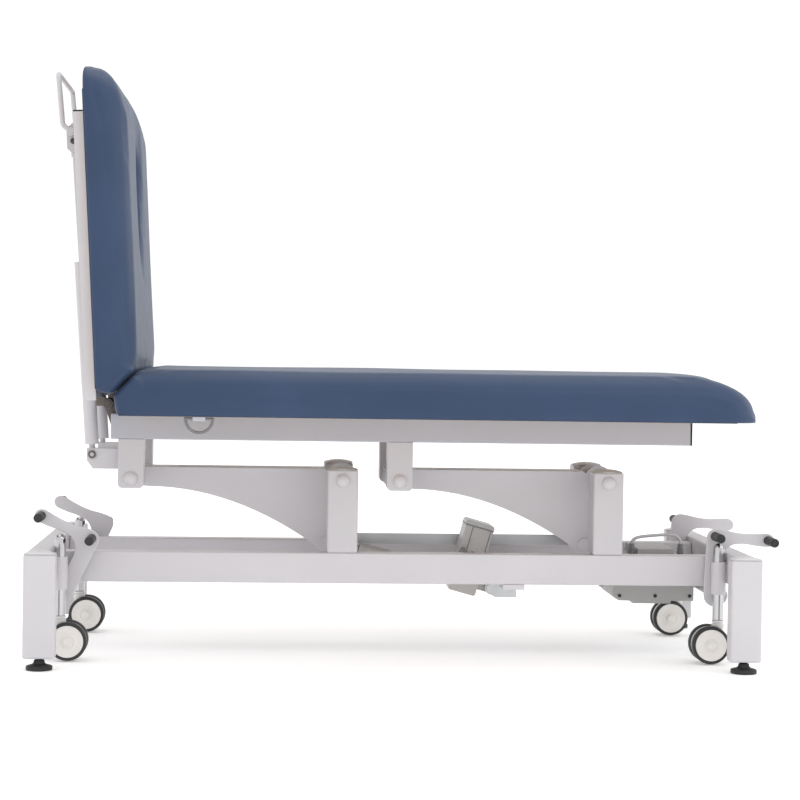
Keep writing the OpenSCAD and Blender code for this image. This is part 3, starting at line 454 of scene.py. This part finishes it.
# the hinge's own ends are bare brown steel
for n in ("seat_end_lugs", "back_frame"):
    o = refined(n, [WHITE, BROWN_STEEL], 0.7 * MM)
    for f in o.data.polygons:
        if math.hypot(f.center.x - HINGE.x, f.center.z - HINGE.z) < HINGE_R:
            f.material_index = 1
for n, material, w in (
    ("lift_pivot_shafts", WHITE, 1.4), ("seat_pivot_shafts", WHITE, 1.4), ("tube_caps", CAP_GREY, 1.6),
    ("actuator_mount", ZINC, 0.8), ("tie_bar", ZINC, 0.8), ("ring_clips", SEAT_SHADED_WHITE, 0.5),
    ("actuator_tube", MOTOR_GREY, 1.0), ("gas_cylinders", WHITE, 0.8), ("gas_rods", CHROME, 0.6),
    ("actuator_rod", CHROME, 0.6), ("head_stems", CHROME, 0.5), ("foot_stems", CHROME, 0.5),
    ("actuator_drive", ZINC, 0.6), ("actuator_housing", MOTOR_GREY, 2.5), ("control_box", BOX_GREY, 1.0),
    ("control_box_lid", BOX_GREY, 0.9), ("strain_reliefs", RELIEF, 0.4), ("box_screws", BLACK, 0.5),
    ("control_board", BOARD_GREEN, 0.4), ("rail_plugs", BLACK, 0.8), ("back_plugs", BLACK, 0.8),
    ("box_cables", CABLE, 0), ("d_ring_near", RING, 0), ("d_ring_far", RING, 0),
):
    refined(n, material, w * MM)
# the boards show bare wood below; the cover is folded over their edges
for n, tilt in (("seat_board", 0.0), ("back_board", RAISED)):
    o = refined(n, [WOOD, VINYL], 0.6 * MM)
    flat = Vector((math.sin(tilt), 0, math.cos(tilt)))
    for f in o.data.polygons:
        f.material_index = 0 if f.normal.dot(flat) < -0.7 else 1

# ---------------------------------------------------------------- pads
PAD_HALF = 0.330
OVER = 0.069
SWELL = 0.004
CLOTH_FRAMES = 14


def seat_at(u, y, v):
    """A place on the seat: u along it from the hinge, v above it."""
    return Vector((HINGE.x + u, y, HINGE.z + v))


def back_at(u, y, v):
    """A place on the raised back: u along it from the hinge, v out of its face."""
    c, q = math.cos(RAISED), math.sin(RAISED)
    return Vector((HINGE.x + v * q - u * c, y, HINGE.z + u * q + v * c))


def teardrop(grow):
    """Outline of the face hole: a wide arc at the brow, a narrow one at the chin."""
    wide, narrow = 0.062 + grow, 0.026 + grow
    brow, chin = 0.520 - 0.062, 0.520 - 0.225 + 0.026
    lean = math.asin((wide - narrow) / (brow - chin))
    pts = []
    for i in range(33):
        a = -math.pi / 2 - lean + (math.pi + 2 * lean) * i / 32
        pts.append((brow + wide * math.cos(a), wide * math.sin(a)))
    for i in range(25):
        a = math.pi / 2 + lean + (math.pi - 2 * lean) * i / 24
        pts.append((chin + narrow * math.cos(a), narrow * math.sin(a)))
    return pts


def side_outline(length, under, over, nose, full):
    """Closed side outline of a pad, (u, v): underside, nose, top, then the mitre down to the hinge."""
    edge = 0.006
    gap = 0.0016
    lip = nose * 0.05

    def mitre_u(v):
        return gap / math.sin(MITRE) + v / math.tan(MITRE)

    start = max(mitre_u(0.022), 0.026)
    pts = [(start, under)]
    for i in range(1, 60):
        pts.append((start + (length - lip - start) * i / 59, under))
    for i in range(1, 7):
        a = -math.pi / 2 + math.pi / 2 * i / 6
        pts.append((length - lip + lip * math.cos(a), under + edge + edge * math.sin(a)))
    for i in range(1, 25):
        a = math.pi / 2 * i / 24
        pts.append((length - nose + nose * max(math.cos(a), 0.0) ** full,
                    under + edge + (over - under - edge) * math.sin(a) ** full))
    end = mitre_u(over)
    for i in range(1, 56):
        pts.append((length - nose + (end - (length - nose)) * i / 55, over))
    v0 = 0.020
    for i in range(1, 10):
        v = over + (v0 - over) * i / 9
        pts.append((mitre_u(v), v))
    return pts


def pad(name, place, length, under, nose, full, node, body, crown, hole=False):
    """One cushion: lofted, remeshed, filled by a short cloth run, then set in its place."""
    over = OVER - SWELL
    outline = side_outline(length - 0.003, under - 0.0014, over, nose, full)
    n = len(outline)
    r_top, r_low = 0.042, 0.004
    corner = 0.070

    wide = PAD_HALF - SWELL

    def half(u):
        w = wide
        start = length - corner
        if u <= start:
            return w
        d = min(u - start, corner)
        return w - (corner - math.sqrt(max(corner ** 2 - d ** 2, 0)))

    normals = []
    for i in range(n):
        a, b = Vector(outline[i - 1]), Vector(outline[(i + 1) % n])
        d = (b - a).normalized()
        normals.append(Vector((d.y, -d.x)))
    bm = bmesh.new()
    loops = []
    depths = [0.0, 0.0012, 0.004, 0.009, 0.016, 0.024, 0.033, 0.042, 0.05]
    levels = [(-1, d) for d in depths]
    levels += [(0, k) for k in np.linspace(-0.85, 0.85, 17)]
    levels += [(1, d) for d in reversed(depths)]
    for s, d in levels:
        loop = []
        for i, (u, v) in enumerate(outline):
            nrm = normals[i]
            r = r_top if nrm.y > -0.3 else r_low
            if nrm.x < -0.3:
                r = 0.016
            if s == 0:
                e, y = 0.0, d * (wide - 0.05)
            else:
                dd = min(d, r)
                e = r - math.sqrt(max(r * r - (r - dd) ** 2, 0.0))
                y = s * (wide - d)
            p = Vector((u, v)) - nrm * e
            lift = 0.0
            if s == 0 or d > 0.02:
                lift = crown * (1 - (y / PAD_HALF) ** 2) * max(nrm.y, 0)
            loop.append(bm.verts.new((p.x, y, p.y + lift)))
        loops.append(loop)
    for a, b in zip(loops, loops[1:]):
        for i in range(n):
            j = (i + 1) % n
            bm.faces.new((a[i], a[j], b[j], b[i]))
    bm.faces.new(loops[0])
    bm.faces.new(list(reversed(loops[-1])))
    bmesh.ops.recalc_face_normals(bm, faces=bm.faces)
    me = bpy.data.meshes.new(name)
    bm.to_mesh(me)
    bm.free()
    o = bpy.data.objects.new(name, me)
    bpy.context.scene.collection.objects.link(o)

    def apply(modifier):
        bpy.context.view_layer.objects.active = o
        bpy.ops.object.select_all(action="DESELECT")
        o.select_set(True)
        bpy.ops.object.modifier_apply(modifier=modifier.name)

    if hole:
        cut = bmesh.new()
        rings = []
        for grow, v in ((0.0, -0.05), (0.0, OVER - 0.016), (0.003, OVER - 0.010), (0.009, OVER - 0.004),
                        (0.018, OVER + 0.004), (0.018, 0.12)):
            rings.append([cut.verts.new((p[0], p[1], v)) for p in teardrop(grow)])
        for a, b in zip(rings, rings[1:]):
            for i in range(len(a)):
                j = (i + 1) % len(a)
                cut.faces.new((a[i], a[j], b[j], b[i]))
        cut.faces.new(rings[0])
        cut.faces.new(list(reversed(rings[-1])))
        bmesh.ops.recalc_face_normals(cut, faces=cut.faces)
        cm = bpy.data.meshes.new("cutter")
        cut.to_mesh(cm)
        cut.free()
        co = bpy.data.objects.new("cutter", cm)
        bpy.context.scene.collection.objects.link(co)
        b = o.modifiers.new("hole", "BOOLEAN")
        b.object = co
        b.solver = "EXACT"
        apply(b)
        bpy.data.objects.remove(co)
    rem = o.modifiers.new("remesh", "REMESH")
    rem.mode = "VOXEL"
    rem.voxel_size = 0.006
    apply(rem)
    start = np.array([v.co[:] for v in o.data.vertices])
    for c in start:
        c[1] *= half(c[0]) / wide
    for i, c in enumerate(start):
        o.data.vertices[i].co = c
    pins = o.vertex_groups.new(name="held")
    for i, c in enumerate(start):
        low = c[2] < under + 0.016
        mitre = c[0] * math.sin(MITRE) - c[2] * math.cos(MITRE) < 0.010
        if low or mitre:
            pins.add([i], 1.0 if c[2] < under + 0.006 or mitre else 0.6, "REPLACE")
    cl = o.modifiers.new("cloth", "CLOTH")
    st = cl.settings
    st.quality = 4
    st.mass = 0.4
    st.tension_stiffness = st.compression_stiffness = 18
    st.shear_stiffness = 10
    st.bending_stiffness = 1.5
    st.use_pressure = True
    st.uniform_pressure_force = 4.0
    st.vertex_group_mass = "held"
    st.effector_weights.gravity = 0
    cl.collision_settings.use_collision = False
    cl.collision_settings.use_self_collision = False
    cl.point_cache.frame_start, cl.point_cache.frame_end = 1, CLOTH_FRAMES
    scene = bpy.context.scene
    for f in range(1, CLOTH_FRAMES + 1):
        scene.frame_set(f)
    apply(cl)
    moved = np.array([v.co[:] for v in o.data.vertices])
    d = moved - start
    size = np.linalg.norm(d, axis=1, keepdims=True)
    cap = 0.0035
    d *= np.minimum(1, cap / np.maximum(size, 1e-9))
    start = start + d
    scene.frame_set(1)
    # the cover's slow undulation, and gathers beside the mitre and round the hole
    out = np.empty_like(start)
    for i, c in enumerate(start):
        u, y, v = c
        top = max(0.0, min(1.0, (v - under - 0.02) / 0.04))
        near = math.exp(-max(u - v / math.tan(MITRE), 0) / 0.05)
        w = 0.0016 * noise.noise((u * 4.0, y * 5.0, v * 9.0)) * top
        w += 0.0015 * near * noise.noise((u * 14.0, y * 34.0, v * 22.0))
        if hole:
            dx, dy = (u - 0.41) / 0.13, y / 0.075
            ring = math.exp(-((math.hypot(dx, dy) - 1.0) / 0.35) ** 2)
            w += 0.0012 * ring * noise.noise((u * 30.0, y * 30.0, 1.7)) * top
            w -= 0.0025 * ring * top
        out[i] = (u, y, v + w)
    me = o.data
    for i, c in enumerate(out):
        me.vertices[i].co = place(*c)
    me.update()
    sm = o.modifiers.new("smooth", "SMOOTH")
    sm.factor = 0.5
    sm.iterations = 3
    apply(sm)
    sub = o.modifiers.new("fine", "SUBSURF")
    sub.levels = sub.render_levels = 1
    apply(sub)
    me = o.data
    me.materials.append(VINYL)
    finish_mesh(me, 60)
    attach(o, body)
    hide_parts(node)
    return o


pad("seat_cushion", seat_at, 1.266, -0.017, 0.138, 0.95, "seat_pad", "seat", 0.006)
pad("back_cushion", back_at, 0.650, -0.009, 0.110, 0.84, "back_pad", "back", 0.003, hole=True)

# ---------------------------------------------------------------- turned and bent pieces


def wheel(node):
    """Two tyres and their pale discs on one axle."""
    lo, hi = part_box(node)
    c = (Vector(lo) + Vector(hi)) / 2
    tyre = [(31.2, -8.2), (33.5, -8.4), (35.6, -7.8), (37.0, -6.2), (37.5, -4.0)]
    tyre += [(r, -h) for r, h in reversed(tyre)] + [(30.9, 7.0), (30.9, -7.0), tyre[0]]
    face = [(4.1, 0), (4.1, 8.4), (10.5, 8.4), (11.6, 7.9), (11.9, 7.0), (12.6, 7.0), (13.0, 7.6),
            (15.0, 7.9), (17.5, 7.0), (20.5, 6.9), (27.6, 7.7), (29.2, 8.3), (30.6, 8.2), (31.1, 7.6),
            (31.1, 0)]
    centres = [Vector((c.x, c.y + s * 17 * MM, c.z)) for s in (-1, 1)]
    tyres = [lathe(tyre, centre, segs=96) for centre in centres]
    discs = []
    for s, centre in zip((-1, 1), centres):
        profile = [(r, h * s) for r, h in face] + [(r, -h * s) for r, h in reversed(face)]
        discs.append(lathe(profile, centre, segs=96))
    me = split_materials(mesh_of("fine_" + node, *tyres, *discs), 2)
    piece("fine_" + node, me, [TYRE, DISC], BODY_OF[node], SLOT_OF[node], [node], angle=40)


for n in ("wheels_head_near", "wheels_head_far", "wheels_foot_near", "wheels_foot_far"):
    wheel(n)


def caster(node, s):
    """Swivel body: round neck with a collar, a hood between the wheels and the axle's caps."""
    lo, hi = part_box(node.replace("caster", "wheels"))
    w = (Vector(lo) + Vector(hi)) / 2
    stem = Vector((MID + s * STEM_X, w.y, 0))
    neck = lathe([(4.1, 62), (4.1, 85.8), (11.0, 85.8), (11.8, 85.0), (11.8, 82), (9.5, 80.6), (9.5, 79.5),
                  (12.2, 78.6), (12.2, 72), (8.0, 62), (4.1, 62)], stem, axis="Z", segs=48)
    pts = []
    hood_r = 34.5 * MM
    for i in range(40):
        a = math.radians(-62 + 250 * i / 39) if s < 0 else math.radians(242 - 250 * i / 39)
        pts.append((w.x + hood_r * math.cos(a), w.z + hood_r * math.sin(a)))
    hood = slab(pts, w.y - 7.4 * MM, w.y + 7.4 * MM)
    end = [(0, -29), (6.6, -29), (7.6, -28), (7.6, -25.8), (4.0, -25.8)]
    pin = lathe(end + [(r, -h) for r, h in reversed(end)], w, segs=40)
    me = split_materials(mesh_of("fine_" + node, neck, hood, pin), 2)
    o = piece("fine_" + node, me, [FORK, DISC], BODY_OF[node], SLOT_OF[node], [node])
    bevel(o, 1.4 * MM)


for n, s in (("caster_head_near", -1), ("caster_head_far", -1), ("caster_foot_near", 1),
             ("caster_foot_far", 1)):
    caster(n, s)


def levelling(node):
    """A levelling foot: a round shoe, a neck and a threaded rod."""
    lo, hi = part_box(node)
    c = (Vector(lo) + Vector(hi)) / 2
    c.z = 0
    thread = []
    z = 20.0
    while z < 68:
        thread += [(5.0, z), (4.5, z + 0.75)]
        z += 1.5
    shoe = [(0, 0), (24.2, 0), (25.0, 1.0), (25.0, 6.2), (24.0, 7.6), (21.5, 8.4), (14.5, 10.2),
            (11.6, 12.4), (10.4, 15.2), (9.6, 18.6), (8.8, 19.0), (5.0, 19.2)]
    prof = shoe + thread + [(4.4, 69.4), (3.6, 70), (0, 70)]
    me = mesh_of("fine_" + node, lathe(prof, c, axis="Z", segs=64))
    piece("fine_" + node, me, BLACK, BODY_OF[node], SLOT_OF[node], [node], angle=28)


for n in ("foot_head_near", "foot_head_far", "foot_end_near", "foot_end_far"):
    levelling(n)

# the pedal lever from its shaft, upright: lobe, outer pedal arm, inner corner and back edge, in mm
LEVER_PTS = [
    (-22, -10), (-12, -21), (2, -24), (15, -18.5), (22.5, -8), (23.5, 3), (18.5, 12), (12.5, 24), (9.0, 40),
    (7.0, 58), (6.5, 74), (8.5, 84), (15, 94), (28, 103.2), (50, 105.4), (72, 103.4), (88, 103.0),
    (98, 103.6), (105.5, 108.8), (108, 116), (105.5, 123.5), (98, 128.6), (88, 129.0), (72, 127.2),
    (50, 125.6), (28, 126.6), (10, 129.6), (-4, 131.0), (-14, 130.2), (-23, 124.6), (-26.8, 116),
    (-27.0, 100), (-26.4, 70), (-25.6, 40), (-24.8, 12),
]
PLATE = (178, 184)
LEVER_TILT = {"head": (-1, -24), "foot": (1, 4)}


def on_lever(end, x, z):
    """A point of the upright lever outline, in mm, turned to the lever's tilt: (x, z) in metres."""
    s, tilt = LEVER_TILT[end]
    a = math.radians(tilt * s)
    x, z = x * s * MM, z * MM
    return (MID + s * STEM_X + x * math.cos(a) + z * math.sin(a),
            LEVER_Z + z * math.cos(a) - x * math.sin(a))


def lever(end):
    """Two lever plates on their common shaft."""
    node = end + "_lever"
    s = LEVER_TILT[end][0]
    out = [on_lever(end, p[0], p[1]) for p in smooth_closed(LEVER_PTS, 5)]
    if s < 0:
        out.reverse()
    plates = [slab(out, -PLATE[1] * MM, -PLATE[0] * MM), slab(out, PLATE[0] * MM, PLATE[1] * MM)]
    bar = lathe([(0, -PLATE[0]), (8, -PLATE[0]), (8, PLATE[0]), (0, PLATE[0])],
                Vector((MID + s * STEM_X, 0, LEVER_Z)), segs=40)
    me = one_material(mesh_of("fine_" + node, *plates, bar))
    bevel(piece("fine_" + node, me, WHITE, BODY_OF[node], SLOT_OF[node], [node]), 1.3 * MM)


def pegs(end):
    """Ribbed rubber pedal pegs, two on each plate."""
    node = end + "_lever_pegs"
    prof = [(0, 184), (8.6, 184), (9.0, 185), (9.0, 187.5), (8.2, 188.6)]
    y = 190.0
    while y < 234:
        prof += [(8.2, y), (8.9, y + 0.8), (8.9, y + 3.0), (8.2, y + 3.8)]
        y += 4.4
    prof += [(8.4, 236.5), (8.9, 237.5), (8.9, 240), (7.8, 241.7), (6.2, 242), (6.0, 240.8), (4.2, 240.6),
             (4.0, 241.6), (0, 241.8)]
    parts = []
    for along in (-12, 95):
        x, z = on_lever(end, along, 116)
        for side in (-1, 1):
            parts.append(lathe([(r, h * side) for r, h in prof], Vector((x, 0, z)), segs=48))
    me = one_material(mesh_of("fine_" + node, *parts))
    piece("fine_" + node, me, PEG, BODY_OF[node], SLOT_OF[node], [node], angle=30)


for end in ("head", "foot"):
    lever(end)
for end in ("head", "foot"):
    pegs(end)

# release handle: one bar bent at four corners, on two flattened eyes; its bends are (u, v) on the back
HANDLE_BENDS = ((0.534, -0.050), (0.548, -0.066), (0.648, -0.070))
HANDLE_Y = 0.143
route = [back_at(u, -HANDLE_Y, v) for u, v in HANDLE_BENDS]
route += [back_at(u, HANDLE_Y, v) for u, v in reversed(HANDLE_BENDS)]
bar = sweep(rounded_path(route, 0.014, 10), 5 * MM)
eye = [(4.6, -4.5), (7.6, -4.5), (8.4, -3.6), (8.4, 3.6), (7.6, 4.5), (4.6, 4.5), (4.6, -4.5)]
eyes = [lathe(eye, back_at(HANDLE_BENDS[0][0], y, HANDLE_BENDS[0][1]), segs=32) for y in (-HANDLE_Y, HANDLE_Y)]
me = one_material(mesh_of("fine_release_handle", bar, *eyes))
piece("fine_release_handle", me, WHITE, "handle", SLOT_OF["release_handle"], ["release_handle"])

# ---------------------------------------------------------------- small fittings


def bolt(name, centre, r, h, body, out):
    """A button-head bolt with a socket, facing -Y or +Y."""
    prof = [(0, 0), (r, 0), (r, h * 0.35), (r * 0.93, h * 0.66), (r * 0.72, h * 0.93), (r * 0.5, h),
            (r * 0.46, h * 0.55), (0, h * 0.5)]
    me = mesh_of(name, lathe([(a, b * out) for a, b in prof], centre, segs=36))
    return piece(name, me, BROWN_STEEL, body, "zinc_steel")


# a hinge barrel is three short tubes with a groove between them
half_barrel = [(6.2, -17.6), (9.2, -17.6), (10.1, -16.6), (10.1, -6.4), (9.3, -6.0), (9.3, -5.2), (10.1, -4.8)]
BARREL = half_barrel + [(r, -h) for r, h in reversed(half_barrel)] + half_barrel[:1]
PLATE_FACE_Y = 0.138
for side, tag in ((-1, "near"), (1, "far")):
    spring_pin = Vector((MID - 0.592, side * PLATE_FACE_Y, 0.396))
    bolt("spring_pin_" + tag, spring_pin, 8.5, 5.5, "seat", side)
    bolt("spring_top_bolt_" + tag, back_at(0.516, side * 0.142, -0.047), 6.2, 3.6, "back", side)
    bolt("ear_bolt_" + tag, back_at(0.503, side * PLATE_FACE_Y, -0.038), 4.2, 2.4, "back", side)
    me = mesh_of("hinge_barrel_" + tag, lathe(BARREL, Vector((HINGE.x, side * 0.1465, HINGE.z)), segs=40))
    piece("hinge_barrel_" + tag, me, BROWN_STEEL, "back", "zinc_steel")

# ---------------------------------------------------------------- actuator trim, rail seams
ACT_LEAN = math.radians(15.4546)
ACT_PIN = (MID + 0.214, 0.124)


def act_at(x, y, z):
    """A point in the actuator's own frame: x back from the ram, z across it, in mm."""
    c, q = math.cos(ACT_LEAN), math.sin(ACT_LEAN)
    return Vector((ACT_PIN[0] + (x * c + z * q) * MM, y * MM, ACT_PIN[1] + (z * c - x * q) * MM))


def act_box(lo, hi):
    """A box in the actuator's own frame, from its low to its high corner."""
    bm = box_mesh(lo, hi)
    for v in bm.verts:
        v.co = act_at(*v.co)
    return bm


def act_piece(name, material, *boxes):
    """Trim on the actuator's housing, as bars through it that stand proud of both faces."""
    me = one_material(mesh_of(name, *[act_box(*b) for b in boxes]))
    return bevel(piece(name, me, material, ACT_BODY, ACT_SLOT), 0.5 * MM, 2)


ACT_BODY, ACT_SLOT = BODY_OF["actuator_housing"], SLOT_OF["actuator_housing"]
act_piece("motor_lip", GEAR_GREY, ((-89.2, -39.4, 112.5), (-28.8, 39.4, 115)),
          ((-74, -38.6, 30), (-71.6, 38.6, 112)), ((-36.5, -38.6, 30), (-34.4, 38.6, 112)))
act_piece("motor_rim", ZINC, ((-89.0, -39.0, 117.5), (-29.0, 39.0, 119.5)),
          ((-86.4, -38.7, 44), (-84.6, 38.7, 111)))
act_piece("motor_wiring", BLACK, *[((x, -40.6, 54), (x + 4.5, -38, 60 + (i % 2) * 3))
                                   for i, x in enumerate((-70, -62, -54, -47, -40))])
plug = [(0, 0), (5.4, 0), (6.0, 0.8), (6.0, 9), (5.0, 10), (5.0, 13), (3.0, 14), (0, 14)]
me = mesh_of("motor_plug", lathe(plug, act_at(-80, -43.5, 54), axis="Z", segs=32))
piece("motor_plug", me, CHROME, ACT_BODY, ACT_SLOT)

# two fine upright seams on the outer face of each side rail
SEAM_W, SEAM_RISE, SEAM_INSET = 0.0009, 0.0003, 0.003
lo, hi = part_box("side_rails")
for x in (MID + 0.305, MID + 0.3875):
    strips = [box_mesh((x, y - SEAM_RISE, lo[2] + SEAM_INSET), (x + SEAM_W, y + SEAM_RISE, hi[2] - SEAM_INSET))
              for y in (lo[1], hi[1])]
    piece("rail_seam", one_material(mesh_of("rail_seam", *strips)), CAP_GREY, "base", SLOT_OF["side_rails"])

# ---------------------------------------------------------------- stage and light
bpy.ops.mesh.primitive_plane_add(size=40, location=(0, 8, -0.0005))
floor = bpy.context.active_object
floor.name = "floor"
FLOOR = coating("studio_floor", (0.95, 0.95, 0.95), 0.7, 0.002, 40.0, 0.02)
glow = next(n for n in FLOOR.node_tree.nodes if n.type == "BSDF_PRINCIPLED")
glow.inputs["Emission Color"].default_value = (1, 1, 1, 1)
glow.inputs["Emission Strength"].default_value = 0.22
floor.data.materials.append(FLOOR)

world = bpy.data.worlds.new("studio")
bpy.context.scene.world = world
world.use_nodes = True
world.node_tree.nodes["Background"].inputs["Color"].default_value = (1, 1, 1, 1)
world.node_tree.nodes["Background"].inputs["Strength"].default_value = 1.06


def area(name, location, target, size, power):
    data = bpy.data.lights.new(name, "AREA")
    data.shape = "RECTANGLE"
    data.size, data.size_y = size
    data.energy = power
    o = bpy.data.objects.new(name, data)
    bpy.context.scene.collection.objects.link(o)
    o.location = location
    o.rotation_mode = "QUATERNION"
    o.rotation_quaternion = (Vector(target) - Vector(location)).to_track_quat("-Z", "Y")
    return o


area("key", (1.6, -2.6, 3.2), (0, 0, 0.5), (2.6, 1.8), 16)
area("foot_fill", (3.4, -1.4, 1.5), (0.4, 0, 0.5), (1.6, 1.6), 9)
area("overhead", (0.0, 0.2, 3.4), (0, 0, 0.4), (3.4, 1.6), 14)
scene = bpy.context.scene
scene.view_settings.view_transform = "Standard"
scene.view_settings.look = "None"
